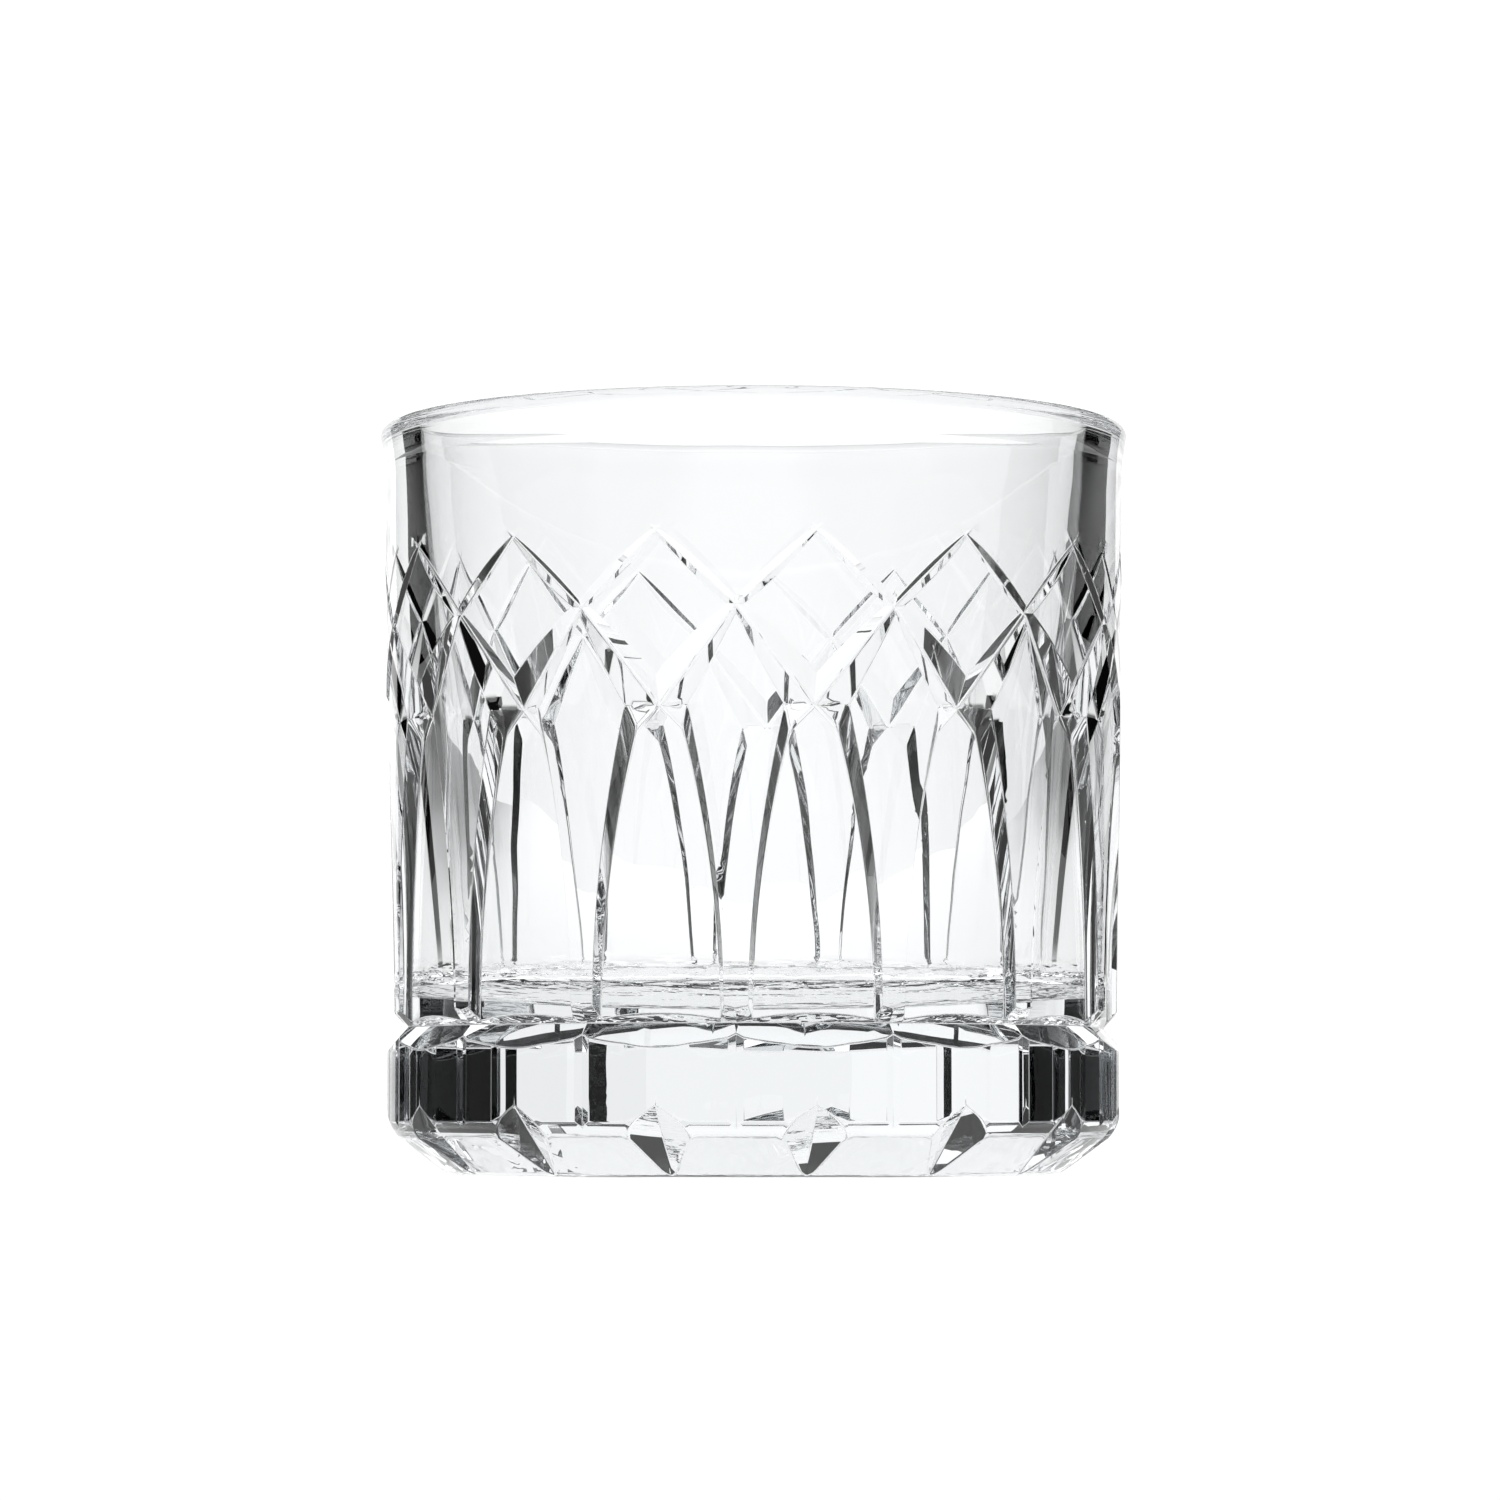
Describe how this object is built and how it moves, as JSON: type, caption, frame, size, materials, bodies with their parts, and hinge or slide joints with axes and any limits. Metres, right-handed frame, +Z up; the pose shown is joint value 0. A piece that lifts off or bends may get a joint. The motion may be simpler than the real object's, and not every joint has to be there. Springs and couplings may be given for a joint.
{
  "type": "whiskey tumbler",
  "caption": "Heavy clear pressed-glass tumbler with a thick base, a waist groove and a cut pattern of arches and diamonds round a plain upper wall.",
  "frame": {"origin": "on the glass's axis, on the surface that it stands on", "axes": "+Z up along the glass's axis; one rib of the cut pattern faces -Y"},
  "size_m": [0.0842, 0.0842, 0.0843],
  "materials": {
    "clear_glass": "clear, colourless, fire-polished pressed glass"
  },
  "bodies": {
    "root": {"tumbler_glass": "clear_glass"}
  },
  "joints": []
}
